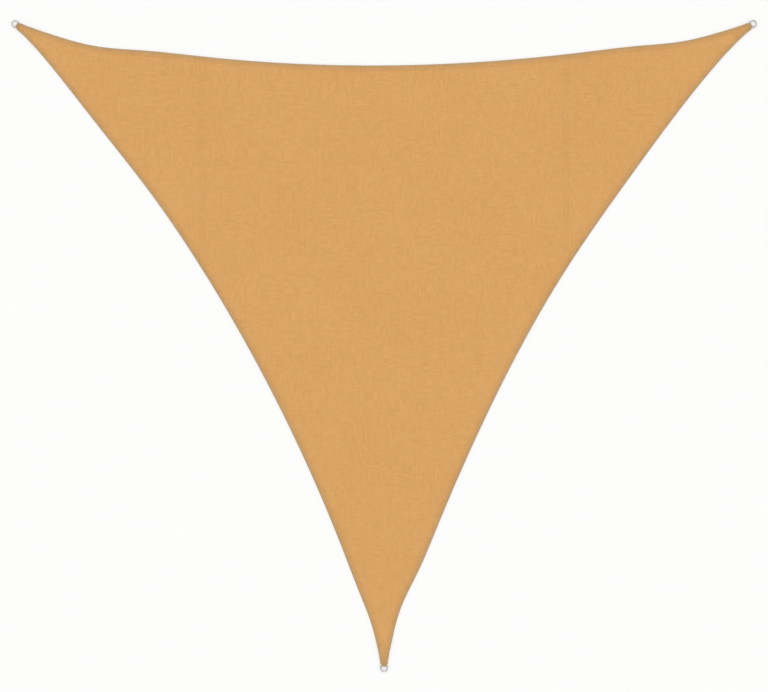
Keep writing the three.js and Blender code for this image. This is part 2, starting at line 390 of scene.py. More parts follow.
def hem_top(cloth, stitch, inside, tension):
    """Height of the hem's face above the field's, with its stitched rows and its swell."""
    rows = (stitch.outer_row, stitch.inner_row)
    swell = np.clip((inside - rows[0]) / (rows[1] - rows[0]), 0, 1)
    face = cloth.hem_height - cloth.thickness + PILLOW * np.sin(math.pi * swell)
    return hem_share(cloth, inside) * face - tension * stitch_groove(inside, rows)


def folded_top(cloth, stitch, x, y):
    """Height of the hems and of the corners' folded layers above the field's face."""
    inside = edge_distance(x, y)
    hem = hem_share(cloth, inside) * (cloth.hem_height - cloth.thickness)
    tension = smooth(nearest_depth(x, y), *TENSION)
    total = hem_top(cloth, stitch, inside, tension) + neck_folds(x, y)
    for corner in CORNERS:
        full = cloth.neck_height - cloth.thickness
        total += neck_share(depth(corner, x, y)) * (full - hem)
    return total


def lap_raise(cloth, x):
    """How far the middle panel is raised where it laps over the side panels."""
    foot = cloth.seam_from_middle - cloth.lap / 2 - GAP - LAP_RAMP
    return (cloth.thickness + GAP) * smooth(np.abs(x), foot, foot + LAP_RAMP)


def seam_rows(cloth):
    """The rows of stitches of a seam, by distance from the sail's middle line."""
    return tuple(cloth.seam_from_middle + side * cloth.lap / 3 for side in (-1, 1))


def rounding(way_in):
    """Share of the thickness at a rounded edge, from 0 at the edge to 1 where it is past."""
    return np.sqrt(1 - (1 - np.clip(way_in, 0, 1)) ** 2)


def under_rows(cloth, stitch, panel, x, inside, tension):
    """How far the underside is raised by its rows of thread, and by the corners' sewing."""
    hem = stitch_groove(inside, (stitch.outer_row, stitch.inner_row))
    raised = GROOVE_DEPTH * (1 - tension) + hem * tension
    if panel != "middle":
        raised = np.maximum(raised, stitch_groove(np.abs(x), seam_rows(cloth)))
    return raised


def panel_faces(cloth, stitch, panel, x, y):
    """Heights of a panel's underside and of its face."""
    inside = edge_distance(x, y)
    off_seam = np.abs(x) - cloth.seam_from_middle
    hem = folded_top(cloth, stitch, x, y)
    if panel == "middle":
        low = lap_raise(cloth, x)
        rows = stitch_groove(np.abs(x), seam_rows(cloth), SEAM_GROOVE_DEPTH)
        lapped = low + cloth.thickness - rows
        high = np.maximum(lapped, cloth.thickness + hem)
        raw = cloth.lap / 2 - off_seam
    else:
        low = np.zeros_like(x)
        under = off_seam < cloth.lap / 2 + GAP
        high = cloth.thickness + np.where(under, 0, hem)
        raw = cloth.lap / 2 + off_seam
    backs = nearest_depth(x, y)
    low = low + under_rows(cloth, stitch, panel, x, inside, smooth(backs, *TENSION))
    cut = backs - CLOTH_START
    if panel == "middle":
        pressed = 1 - smooth(raw, 0, PRESS)
        low = low - PRESSED_GAP * pressed
        high = high - (high - low) * PRESSED_THIN * pressed**2
    share = rounding(np.minimum(inside / ROLL, raw / RAW_ROLL))
    middle, half = (low + high) / 2, (high - low) / 2
    half = half * np.maximum(share, THINNEST)
    half = half * (END_THIN + (1 - END_THIN) * rounding(cut / RAW_ROLL))
    rise = lift(cloth, x, y)
    return middle - half + rise, middle + half + rise


# ---------------------------------------------------------------- making meshes

HEM_COLUMNS = np.array(
    [0, 0.4, 0.9, 1.5, 2.5, 3.3, 4, 4.7, 5.6, 7.5, 10, 12.5, 15, 17.5, 19.3, 20.2, 21]
    + [21.8, 22.9, 24.2, 25, 25.7, 26.6, 28.5, 30.3, 32.5, 35, 38.3, 43, 50, 62, 80]
) * MM
HEM_SPAN = 0.36  # one hem's columns take up no more of a row than this share
LEAST_LEAN = 0.3  # keeps a slanted step to about three times its distance from the edge
FIELD_STEP = 28 * MM  # between two columns of the single cloth
FINE_ROW = 4 * MM
COARSE_ROW = 13 * MM
ROW_GROWTH = 0.05  # how fast rows spread out, away from what is busy
BUSY_NECK = 190 * MM  # rows stay close together this far from the end of a neck
BUSY_FOOT = 2.0  # and draw together again towards here, just past the feet of the seams
BUSY_LAP = 45 * MM  # and stay close together this far up from those feet
TABLE_STEP = 1 * MM
SIDE_REACH = 1.9  # how far the tables of a side panel's edges go from their corner
MIDDLE_REACH = 3.4  # and those of the middle panel's edges
TOP_START = 50 * MM  # the top edge's table leaves out the neck
END_ROWS = np.array([0, 0.15, 0.35, 0.6, 1.2, 2.5]) * MM  # close rows at the end of a neck
STEP_ROWS = np.array([1.2, 0.8, 0.45, 0.3, 0]) * MM  # before the step down to a lap
LAP_ROWS = np.array([26.5, 25, 23.5, 20, 15, 10, 6.5, 5, 3.5, 2, 0.5, 0.2, 0]) * MM  # on a lap
STEP_CLEAR = 2 * MM  # from the last even row to the step
SIDE_ROW = 1.2  # the length of row that a side panel's columns are counted for
UPRIGHT = 0.93  # share of a side panel's length where its rows have turned upright
SPREAD = 0.15  # the hems' columns are spread by this share at the feet of the seams
SPREAD_FADE = 60 * MM  # and are back to their own width this far up
FOLLOW_TOP = (520 * MM, 110 * MM)  # below the top edge, where rows take on its curve
WELD = 1e-6  # points closer than this are one
SLIVER = 1e-7  # edges shorter than this are none


def stations(length, busy):
    """Distances from 0 to length, close together in the busy spans and wider between them."""
    marks = [0.0]
    while marks[-1] < length:
        away = min(max(low - marks[-1], marks[-1] - high, 0.0) for low, high in busy)
        marks.append(marks[-1] + min(COARSE_ROW, FINE_ROW + ROW_GROWTH * away))
    return np.array(marks) * length / marks[-1]


def columns_between(first, last, first_slant, last_slant, count):
    """Points from first to last: the hem's columns in from both, and even ones between."""
    run = last - first
    span = float(np.hypot(*run))
    way = run / span
    deepest = HEM_COLUMNS[-1] * max(first_slant, last_slant)
    squeeze = min(1.0, HEM_SPAN * span / deepest)
    near = HEM_COLUMNS * first_slant * squeeze
    far = span - HEM_COLUMNS[::-1] * last_slant * squeeze
    inner = np.linspace(near[-1], far[0], count + 2)[1:-1]
    return first + np.concatenate([near, inner, far])[:, None] * way


def slant_of(edge, along, way):
    """How much longer a step along way is than the distance that it takes from the edge."""
    slope = float(edge.slope(along))
    normal = (edge.inward - slope * edge.way) / math.hypot(1, slope)
    return 1 / max(abs(float(normal @ way)), LEAST_LEAN)


def side_plan(cloth, corner):
    """Plan of a side panel: rows from the neck to the seam, columns from edge to edge."""
    lower, upper = EDGES_AT[corner]
    sign = -1 if corner == "left" else 1
    inner = cloth.seam_from_middle - cloth.lap / 2
    walk = np.arange(0, SIDE_REACH, TABLE_STEP)
    tables = []
    for edge in (lower, upper):
        points = edge.point(edge.from_corner(corner, walk))
        backs = depth(corner, points[:, 0], points[:, 1])
        tables.append((edge, backs, sign * points[:, 0]))
    neck_x = sign * float((BARS[corner] - CLOTH_START * OUTWARD[corner])[0])
    length = neck_x - inner
    even = stations(length - cloth.lap - STEP_CLEAR, [(0, BUSY_NECK), (length, length)])[1:]
    step = length - (STEP_ROWS + cloth.lap)
    marks = np.concatenate([END_ROWS, even, step, length - LAP_ROWS])
    count = round(SIDE_ROW / FIELD_STEP)
    rows = []
    for mark in marks:
        turn = smooth(mark / length, 0, UPRIGHT)
        ends = []
        for edge, backs, acrosses in tables:
            by_depth = np.interp(CLOTH_START + mark, backs, walk)
            by_x = np.interp(-(neck_x - mark), -acrosses, walk)
            along = edge.from_corner(corner, (1 - turn) * by_depth + turn * by_x)
            ends.append((edge, along, edge.point(along)))
        run = ends[1][2] - ends[0][2]
        slants = [slant_of(edge, along, run / np.hypot(*run)) for edge, along, _ in ends]
        rows.append(columns_between(ends[0][2], ends[1][2], *slants, count))
    return np.array(rows)


def middle_plan(cloth):
    """Plan of the middle panel: rows from the bottom neck to the top edge."""
    half = cloth.seam_from_middle + cloth.lap / 2
    walk = np.arange(0, MIDDLE_REACH, TABLE_STEP)
    sides, crossings = [], []
    for edge in (LEFT_EDGE, RIGHT_EDGE):
        points = edge.point(edge.from_corner("bottom", walk))
        sides.append((edge, points))
        crossings.append(float(np.interp(half, np.abs(points[:, 0]), points[:, 1])))
    top = TOP_EDGE.point(walk + TOP_START)[::-1]
    corners = [float(np.interp(x, top[:, 0], top[:, 1])) for x in (-half, half)]
    start = float((BARS["bottom"] - CLOTH_START * OUTWARD["bottom"])[1])
    below = stations(crossings[0] - start, [(0, BUSY_NECK), (BUSY_FOOT, BUSY_FOOT)])
    below = np.concatenate([END_ROWS, below[1:]]) / below[-1]
    rise = corners[0] - crossings[0]
    above = stations(rise - HEM_COLUMNS[-1], [(0, BUSY_LAP)])[1:]
    above = np.concatenate([above[:-1], rise - HEM_COLUMNS[::-1]]) / rise
    count = round(2 * half / FIELD_STEP)
    rows = []
    for share in below:
        ends, slants = [], []
        for (edge, points), crossing in zip(sides, crossings, strict=True):
            y = start + (crossing - start) * share
            ends.append(np.array([np.interp(y, points[:, 1], points[:, 0]), y]))
            along = edge.from_corner("bottom", np.interp(y, points[:, 1], walk))
            slants.append(slant_of(edge, along, np.array([1.0, 0.0])))
        rows.append(columns_between(*ends, *slants, count))
    for share in above:
        ends = [
            np.array([x, crossing + (corner - crossing) * share])
            for x, crossing, corner in zip((-half, half), crossings, corners, strict=True)
        ]
        drop = rise * (1 - share)
        ease = 1 + SPREAD * (1 - smooth(rise * share, 0, SPREAD_FADE))
        row = columns_between(*ends, ease, ease, count)
        follow = smooth(drop, *FOLLOW_TOP)
        edge_y = np.interp(row[:, 0], top[:, 0], top[:, 1])
        tilt = np.interp(row[:, 0] + NEAR, top[:, 0], top[:, 1]) - edge_y
        curved = edge_y - drop * np.hypot(1, tilt / NEAR)
        row[:, 1] = (1 - follow) * row[:, 1] + follow * curved
        rows.append(row)
    return np.array(rows)


def grid_sheet(rows, columns, place):
    """A closed sheet of two faces with a rim: place gives both heights from row and column."""
    bm = bmesh.new()
    bmesh.ops.create_grid(bm, x_segments=columns - 1, y_segments=rows - 1, size=0.5)
    first = set(bm.verts)
    bmesh.ops.extrude_face_region(bm, geom=bm.faces[:], use_keep_orig=True)
    found = np.array([vert.co[:2] for vert in bm.verts]) + 0.5
    row, column = np.rint(found * (columns - 1, rows - 1)).astype(int).T[::-1]
    under, face = place(row, column)
    for vert, low, high in zip(bm.verts, under, face, strict=True):
        vert.co = low if vert in first else high
    return bm, row, column


def finish_piece(bm, name, material, stands_for=()):
    """Writes a bmesh to a shaded object that rides with the sail."""
    bmesh.ops.remove_doubles(bm, verts=bm.verts[:], dist=WELD)
    bmesh.ops.dissolve_degenerate(bm, edges=bm.edges[:], dist=SLIVER)
    bmesh.ops.recalc_face_normals(bm, faces=bm.faces[:])
    for face in bm.faces:
        face.smooth = True
    mesh = bpy.data.meshes.new(name)
    bm.to_mesh(mesh)
    bm.free()
    mesh.materials.append(material)
    piece = bpy.data.objects.new(name, mesh)
    bpy.context.scene.collection.objects.link(piece)
    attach(piece, BODY)
    if stands_for:
        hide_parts(*stands_for)
    return piece


def to_corner(corner):
    """The matrix from a corner's own frame, its bar along Y at the origin and +X leading out."""
    turn = math.atan2(OUTWARD[corner][1], OUTWARD[corner][0])
    x, y = BARS[corner]
    return Matrix.Translation((x, y, 0)) @ Matrix.Rotation(turn, 4, "Z")


# ---------------------------------------------------------------- materials


class Nodes:
    """Short ways to add and join a material's nodes."""

    def __init__(self, name):
        self.material = bpy.data.materials.new(name)
        self.material.use_nodes = True
        self.tree = self.material.node_tree
        self.shader = self.tree.nodes["Principled BSDF"]

    def add(self, kind, **settings):
        node = self.tree.nodes.new(kind)
        for key, value in settings.items():
            setattr(node, key, value)
        return node

    def join(self, source, socket):
        if hasattr(source, "is_output"):
            self.tree.links.new(source, socket)
        else:
            socket.default_value = source

    def math(self, operation, *values):
        node = self.add("ShaderNodeMath", operation=operation)
        for value, socket in zip(values, node.inputs, strict=False):
            self.join(value, socket)
        return node.outputs[0]

    def attribute(self, name):
        return self.add("ShaderNodeAttribute", attribute_name=name).outputs["Fac"]

    def coordinates(self, stretch=(1, 1, 1)):
        """Object coordinates, stretched by a factor for each axis."""
        place = self.add("ShaderNodeTexCoord").outputs["Object"]
        mapping = self.add("ShaderNodeMapping", vector_type="POINT")
        mapping.inputs["Scale"].default_value = stretch
        self.join(place, mapping.inputs["Vector"])
        return mapping.outputs["Vector"]

    def noise(self, size, stretch=(1, 1, 1), detail=2.0, amount=1.0):
        """Noise from -amount to amount, in blots of about that size."""
        node = self.add("ShaderNodeTexNoise")
        self.join(self.coordinates(stretch), node.inputs["Vector"])
        node.inputs["Scale"].default_value = 1 / size
        node.inputs["Detail"].default_value = detail
        centred = self.math("SUBTRACT", node.outputs["Fac"], 0.5)
        return self.math("MULTIPLY", centred, 2 * amount)

    def blend(self, share, first, second):
        node = self.add("ShaderNodeMix", data_type="RGBA")
        self.join(share, node.inputs["Factor"])
        for value, socket in ((first, node.inputs[6]), (second, node.inputs[7])):
            self.join((*value, 1.0) if isinstance(value, tuple) else value, socket)
        return node.outputs[2]

    def shade(self, colour, brightness):
        """A colour made lighter or darker by a factor."""
        node = self.add("ShaderNodeVectorMath", operation="SCALE")
        self.join(colour, node.inputs[0])
        self.join(brightness, node.inputs["Scale"])
        return node.outputs[0]

    def look(self, sockets):
        """Sets or joins the shader's sockets by name."""
        for name, source in sockets.items():
            self.join(source, self.shader.inputs[name])

    def bump(self, height, distance):
        node = self.add("ShaderNodeBump")
        node.inputs["Strength"].default_value = 1.0
        node.inputs["Distance"].default_value = distance
        self.join(height, node.inputs["Height"])
        self.join(node.outputs["Normal"], self.shader.inputs["Normal"])


CHAIN_SHARPNESS = 6.0  # how narrow the knit's chains stand
LOOP_DIP = 0.18  # how far a chain dips between two loops, as a share of its height
TAPE_SLANT = 0.55
TAPE_HEIGHT = 0.7  # as a share of the chains'


def knit_height(nodes, wale, course):
    """The knit's relief from 0 to 1: upright chains with slanting tapes between them."""
    axes = nodes.add("ShaderNodeSeparateXYZ")
    nodes.join(nodes.coordinates(), axes.inputs[0])
    x, y = axes.outputs["X"], axes.outputs["Y"]
    ridge = nodes.math("COSINE", nodes.math("MULTIPLY", x, math.pi / wale))
    chain = nodes.math("POWER", nodes.math("ABSOLUTE", ridge), CHAIN_SHARPNESS)
    zigzag = nodes.math("PINGPONG", x, wale)
    slanted = nodes.math("ADD", y, nodes.math("MULTIPLY", zigzag, TAPE_SLANT))
    tape = nodes.math("SINE", nodes.math("MULTIPLY", slanted, 2 * math.pi / course))
    tape = nodes.math("MULTIPLY_ADD", tape, 0.5, 0.5)
    loops = nodes.math("SINE", nodes.math("MULTIPLY", y, 2 * math.pi / course))
    loops = nodes.math("MULTIPLY_ADD", loops, LOOP_DIP, 1 - LOOP_DIP)
    chain = nodes.math("MULTIPLY", chain, loops)
    return nodes.math("MAXIMUM", chain, nodes.math("MULTIPLY", tape, TAPE_HEIGHT))


MOTTLE_TINT = (1.0, 0.72, 0.44)  # the pale marks are less yellow than the cloth
PATCH = 170 * MM  # the slubs run upright or level in patches of this size
PATCH_CONTRAST = 1.6
SLUB = 13 * MM
SLUB_STRETCH = 0.3  # of the noise, along a slub
BLOTS = ((11 * MM, 0.6), (60 * MM, 0.3), (420 * MM, 0.4))  # size, strength against the slubs'
KNIT_PAINTED_SHADE = (0.1, 0.95)  # painted highlight and shade of the knit: how much paler its ridges are painted, and its hollows' painted brightness
KNIT_DEPTH = 0.35 * MM


def cloth_material(cloth):
    """Knitted shade cloth: darker and browner where it is folded into hems and necks, with painted
    shade on the hems' outer folds and the necks' ends, and the knit's ridges and hollows painted
    paler and darker as painted highlight and shade.
    """
    nodes = Nodes("knitted_cloth")
    knit = knit_height(nodes, cloth.wale, cloth.course)
    hemmed = nodes.blend(nodes.attribute("hem"), tuple(cloth.field_colour), tuple(cloth.hem_colour))
    # painted shade on the hem's rolled outer fold and at the necks' ends, blended over the hem's
    # colour
    colour = nodes.blend(nodes.attribute("fold"), hemmed, tuple(cloth.fold_shade_colour))
    patches = nodes.math("MULTIPLY_ADD", nodes.noise(PATCH, detail=1.0), PATCH_CONTRAST, 0.5)
    patches = nodes.math("MINIMUM", nodes.math("MAXIMUM", patches, 0.0), 1.0)
    upright = nodes.noise(SLUB, stretch=(1, SLUB_STRETCH, 1), detail=1.0)
    level = nodes.noise(SLUB, stretch=(SLUB_STRETCH, 1, 1), detail=1.0)
    turned = nodes.math("MULTIPLY", nodes.math("SUBTRACT", level, upright), patches)
    marks = nodes.math("MULTIPLY", nodes.math("ADD", upright, turned), cloth.mottle)
    for size, strength in BLOTS:
        marks = nodes.math("ADD", marks, nodes.noise(size, amount=strength * cloth.mottle))
    # painted highlight on the knit's ridges and painted shade in its hollows
    shade = nodes.math("MULTIPLY_ADD", knit, *KNIT_PAINTED_SHADE)
    shade = nodes.math("SUBTRACT", shade, nodes.attribute("tone"))
    mottled = nodes.add("ShaderNodeVectorMath", operation="ADD")
    nodes.join(nodes.shade(colour, shade), mottled.inputs[0])
    nodes.join(nodes.shade(MOTTLE_TINT, marks), mottled.inputs[1])
    nodes.look({"Base Color": mottled.outputs[0], "Roughness": 0.78, "Specular IOR Level": 0.25})
    nodes.bump(knit, KNIT_DEPTH)
    return nodes.material


THREAD_BLOTS = (3 * MM, 0.08)  # size and strength
THREAD_PLIES = (0.5 * MM, 0.1 * MM)  # size and depth


def thread_material(stitch):
    """Twisted polyester thread, a little glossier than the cloth."""
    nodes = Nodes("polyester_thread")
    size, strength = THREAD_BLOTS
    shade = nodes.math("ADD", nodes.noise(size, amount=strength), 1.0)
    nodes.look({"Base Color": nodes.shade((*stitch.colour,), shade), "Roughness": 0.55})
    ply, deep = THREAD_PLIES
    nodes.bump(nodes.noise(ply, detail=1.0), deep)
    return nodes.material


PICK = 1.4 * MM  # from one pick of the webbing to the next
PICK_BEND = 0.9  # how far the ribs bend the picks, in radians of a pick's turn
PICK_HEIGHT = 0.35
RIB_BUMP = (0.3, 0.5)  # height of the ribs, and of the ground that they stand on
WEAVE_PAINTED_SHADE = (0.3, 0.85)  # painted highlight and shade of the weave: how much paler its ridges are painted, and its hollows' painted brightness
WEAVE_BLOTS = (4 * MM, 0.1)  # size and strength
WEAVE_DEPTH = 0.25 * MM
STRIPE_DARKER = 0.09  # half of how much a stripe darkens in its middle


def webbing_material(webbing):
    """Woven webbing: fine picks across ribs that run lengthwise, on the piece's own measure, with
    the weave's ridges and hollows painted paler and darker as painted highlight and shade.
    """
    nodes = Nodes("woven_webbing")
    axes = nodes.add("ShaderNodeSeparateXYZ")
    weave = nodes.add("ShaderNodeAttribute", attribute_name="weave")
    nodes.join(weave.outputs["Vector"], axes.inputs[0])
    across, along = axes.outputs["X"], axes.outputs["Y"]
    turns = nodes.math("MULTIPLY", across, 2 * math.pi * webbing.ribs / webbing.width)
    rib = nodes.math("SINE", turns)
    turns = nodes.math("MULTIPLY", along, 2 * math.pi / PICK)
    pick = nodes.math("SINE", nodes.math("MULTIPLY_ADD", rib, PICK_BEND, turns))
    ground = nodes.math("MULTIPLY_ADD", rib, *RIB_BUMP)
    height = nodes.math("MULTIPLY_ADD", pick, PICK_HEIGHT, ground)
    size, strength = WEAVE_BLOTS
    uneven = nodes.noise(size, amount=strength)
    # painted highlight on the weave's ridges and painted shade in its hollows, with uneven tone
    # added
    shade = nodes.math("ADD", nodes.math("MULTIPLY_ADD", height, *WEAVE_PAINTED_SHADE), uneven)
    turns = nodes.math("MULTIPLY", across, 2 * math.pi * webbing.stripes / webbing.width)
    stripe = nodes.math("COSINE", turns)
    darker = nodes.math("MULTIPLY_ADD", stripe, STRIPE_DARKER, STRIPE_DARKER)
    shade = nodes.math("SUBTRACT", shade, darker)
    nodes.look({"Base Color": nodes.shade((*webbing.colour,), shade), "Roughness": 0.68})
    nodes.bump(height, WEAVE_DEPTH)
    return nodes.material


SCUFFS = (1.2 * MM, 0.14)  # size of the scuffs, and how far they change the roughness
STEEL_ROUGHNESS = 0.24
DULL_PATCHES = (11 * MM, 0.5)  # size and strength
STEEL_GRAIN = (0.8 * MM, 0.02 * MM)  # size and depth


def steel_material(ring):
    """Polished stainless wire with fine scuffs."""
    nodes = Nodes("polished_steel")
    size, strength = SCUFFS
    scuffs = nodes.noise(size, stretch=(1, 1, 4), detail=4.0, amount=strength)
    roughness = nodes.math("ADD", scuffs, STEEL_ROUGHNESS)
    size, strength = DULL_PATCHES
    dull = nodes.math("ADD", nodes.noise(size, detail=1.0, amount=strength), 1.0)
    colour = nodes.shade((*ring.colour,), dull)
    nodes.look({"Roughness": roughness, "Base Color": colour, "Metallic": 1.0})
    grain, deep = STEEL_GRAIN
    nodes.bump(nodes.noise(grain, detail=3.0), deep)
    return nodes.material


# ---------------------------------------------------------------- cloth panels

SEAM_DARKER = 0.014  # where the cloth is lapped
SEAM_FADE = 8 * MM  # to each side of a lap's edges
FRAYED = 2.5 * MM  # half-width of the paler, slightly frayed cut edge of the middle panel
FRAYED_PALER = 0.035
NECK_DARKER = 0.05  # where it is folded at a corner
HEM_TONE = (8 * MM, 28 * MM)  # the hem's colour fades between these distances from the edge
FOLD_SHADE = (3 * MM, 14 * MM)  # and the outer fold's painted shade fades between these
NECK_TONE = (40 * MM, 150 * MM)  # and a corner's between these distances from its bar
NECK_SHADE = (12 * MM, 55 * MM)  # where it is darkest
END_SHADE = (7 * MM, 24 * MM)  # painted shade: the very end of a neck, where the webbing loop goes in, is as brown as the hem's outer fold
# how much of the outer fold's painted shade the end of a neck gets
END_SHADE_SHARE = 0.4
NECK_SHARE = 0.32  # how much of the hem's colour a corner's folded cloth has
POCKET_SIDE = 12.8 * MM  # from the middle of a pocket to its sides
POCKET_DEPTH = 112.3 * MM  # from a ring's bar back to the bottom of a pocket
ON_END = 0.05 * MM  # a face this close to the end of a neck is part of it


def parts_of(faces, kind):
    """The edges or the verts of some faces, each once and in order."""
    return list(dict.fromkeys(part for face in faces for part in getattr(face, kind)))


def add_pocket(bm, corner, low, high):
    """Opens the end of a neck and pushes a pocket for the webbing's tail into it."""
    inverse = to_corner(corner).inverted()
    ends = []
    for face in bm.faces:
        local = [inverse @ vert.co for vert in face.verts]
        if max(abs(point.x + CLOTH_START) for point in local) < ON_END:
            ends.append(face)
    for reach in (CLOTH_START, POCKET_DEPTH):
        opened = [*ends, *parts_of(ends, "edges"), *parts_of(ends, "verts")]
        made = bmesh.ops.extrude_face_region(bm, geom=opened)["geom"]
        ends = [item for item in made if isinstance(item, bmesh.types.BMFace)]
        verts = parts_of(ends, "verts")
        middle = sum((inverse @ vert.co).z for vert in verts) / len(verts)
        for vert in verts:
            local = inverse @ vert.co
            side = max(-POCKET_SIDE, min(POCKET_SIDE, local.y))
            height = high if local.z > middle else low
            vert.co = to_corner(corner) @ Vector((-reach, side, height))


def colour_marks(cloth, x, y):
    """Attributes that the cloth's material reads at each point."""
    inside = edge_distance(x, y)
    backs = nearest_depth(x, y)
    off_seam = np.abs(np.abs(x) - cloth.seam_from_middle)
    seam = 1 - smooth(off_seam, cloth.lap / 2 - SEAM_FADE, cloth.lap / 2 + SEAM_FADE)
    frayed = np.exp(-(((off_seam - cloth.lap / 2) / FRAYED) ** 2))
    frayed = frayed * (np.abs(x) > cloth.seam_from_middle)
    neck = 1 - smooth(backs, *NECK_TONE)
    # painted shade at the end of a neck, next to the webbing loop
    end = 1 - smooth(backs, *END_SHADE)
    shade = 1 - smooth(backs, *NECK_SHADE)
    return {
        "hem": np.maximum(1 - smooth(inside, *HEM_TONE), NECK_SHARE * neck),
        # painted shade on the hem's rolled outer fold, and at the very end of each neck
        "fold": np.maximum(1 - smooth(inside, *FOLD_SHADE), END_SHADE_SHARE * end),
        "tone": SEAM_DARKER * seam - FRAYED_PALER * frayed + NECK_DARKER * shade,
    }


class SAIL_OT_cloth(bpy.types.Operator):
    """Make the three panels of knitted cloth"""

    bl_idname = "sail.cloth"
    bl_label = "Cloth Panels"

    def execute(self, context):
        scene = context.scene
        cloth, stitch = scene.sail_cloth, scene.sail_stitch
        material = cloth_material(cloth)
        for panel in ("left", "middle", "right"):
            plan = middle_plan(cloth) if panel == "middle" else side_plan(cloth, panel)

            def place(row, column, plan=plan, panel=panel):
                x, y = plan[row, column].T
                low, high = panel_faces(cloth, stitch, panel, x, y)
                return np.stack([x, y, low], -1), np.stack([x, y, high], -1)

            bm, _, _ = grid_sheet(*plan.shape[:2], place)
            corner = "bottom" if panel == "middle" else panel
            add_pocket(bm, corner, cloth.thickness, cloth.neck_height - cloth.thickness)
            piece = finish_piece(bm, f"cloth_{panel}", material, [f"panel_{panel}"])
            found = np.array([vert.co[:2] for vert in piece.data.vertices])
            for name, values in colour_marks(cloth, *found.T).items():
                layer = piece.data.attributes.new(name, "FLOAT", "POINT")
                layer.data.foreach_set("value", values.astype(np.float32))
        return {"FINISHED"}


# ---------------------------------------------------------------- stitches

STITCH_SIDES = 6
STITCH_RINGS = 4
STITCH_REACH = 0.46  # from a stitch's middle to its end, as a share of the pitch
SINK = 0.15  # share of the thread's thickness that lies below the cloth's face
BOX_STITCH = (10.5 * MM, 26 * MM, 98 * MM, 13 * MM)  # half-width, ends, and the bar tack
ROW_STEP = 4 * MM  # between the points that a hem's row follows
ROW_END = 2.5 * MM  # from the end of the cloth to the first stitch
ROW_GAP = 1.2 * MM  # from a box to the row beside it
BOX_POINTS = 24  # along each line of a box
TACK_GAP = 2 * MM  # between the bar tack's two rows
SEAM_STEP = 12 * MM  # between the points that a seam's row follows
SEAM_INSET = 27 * MM  # from the edge to the first stitch of a seam


def one_stitch(stitch):
    """A single raised stitch along X, from the origin on."""
    bm = bmesh.new()
    turn = Matrix.Rotation(math.pi / 2, 4, "Y")
    size = (STITCH_REACH * stitch.pitch, stitch.thread / 2, stitch.thread / 2)
    matrix = Matrix.Translation((stitch.pitch / 2, 0, 0)) @ Matrix.Diagonal((*size, 1)) @ turn
    bmesh.ops.create_uvsphere(
        bm, u_segments=STITCH_SIDES, v_segments=STITCH_RINGS, radius=1, matrix=matrix
    )
    mesh = bpy.data.meshes.new("stitch")
    bm.to_mesh(mesh)
    bm.free()
    return mesh


def sew(bm, stitch, points):
    """Adds a row of stitches along a line of points to a bmesh."""
    points = np.asarray(points, float)
    length = float(np.linalg.norm(np.diff(points, axis=0), axis=1).sum())
    curve = bpy.data.curves.new("row", "CURVE")
    curve.dimensions = "3D"
    curve.twist_mode = "Z_UP"
    spline = curve.splines.new("POLY")
    spline.points.add(len(points) - 1)
    flat = np.concatenate([points, np.ones((len(points), 1))], axis=1)
    spline.points.foreach_set("co", flat.ravel())
    line = bpy.data.objects.new("row", curve)
    maker = bpy.data.objects.new("stitches", one_stitch(stitch))
    for item in (line, maker):
        bpy.context.scene.collection.objects.link(item)
    array = maker.modifiers.new("repeat", "ARRAY")
    array.count = max(1, int(length / stitch.pitch))
    array.use_relative_offset = False
    array.use_constant_offset = True
    array.constant_offset_displace = (length / array.count, 0, 0)
    bend = maker.modifiers.new("follow", "CURVE")
    bend.object = line
    bpy.context.view_layer.update()
    shown = maker.evaluated_get(bpy.context.evaluated_depsgraph_get())
    mesh = bpy.data.meshes.new_from_object(shown)
    bm.from_mesh(mesh)
    for item in (maker, line):
        bpy.data.objects.remove(item)


def on_back(cloth, stitch, points):
    """Points of a row, set just under the cloth."""
    x, y = np.asarray(points, float).T
    return np.stack([x, y, lift(cloth, x, y) + stitch.thread / 2], -1)


def on_face(cloth, stitch, panel, points):
    """Points of a row, set on the face of a panel, or on the middle one over the seams."""
    x, y = np.asarray(points, float).T
    half = cloth.seam_from_middle + cloth.lap / 2
    panels = {panel: True}
    if panel is None:
        panels = {"middle": np.abs(x) <= half, "side": np.abs(x) > half}
    z = np.zeros_like(x)
    for name, here in panels.items():
        _, high = panel_faces(cloth, stitch, name, x, y)
        z = np.where(here, high, z)
    return np.stack([x, y, z + (0.5 - SINK) * stitch.thread], -1)


def sew_through(bm, cloth, stitch, panel, points):
    """Sews a row on the face of a panel, or of whichever is on top, and on its back."""
    sew(bm, stitch, on_face(cloth, stitch, panel, points))
    sew(bm, stitch, on_back(cloth, stitch, points))


def corner_rows():
    """A box with a cross in it, and a bar tack next to the ring, as pairs of ends."""
    half, near, far, tack = BOX_STITCH
    box = [(-near, -half), (-near, half), (-far, half), (-far, -half)]
    sides = list(zip(box, box[1:] + box[:1], strict=True))
    tacks = [((-back, -half), (-back, half)) for back in (tack, tack + TACK_GAP)]
    return [*sides, (box[0], box[2]), (box[1], box[3]), *tacks]


def clear_of_corners(points, inset):
    """Marks the points of a hem's row that are on the cloth and outside the corners' boxes."""
    half, _, far, _ = BOX_STITCH
    clear = edge_distance(*points.T) > inset - NEAR
    for corner in CORNERS:
        back = depth(corner, *points.T)
        x, y = OUTWARD[corner]
        aside = np.abs((points - BARS[corner]) @ np.array([-y, x]))
        clear &= (back > CLOTH_START + ROW_END) & ((back > far) | (aside > half + ROW_GAP))
    return clear


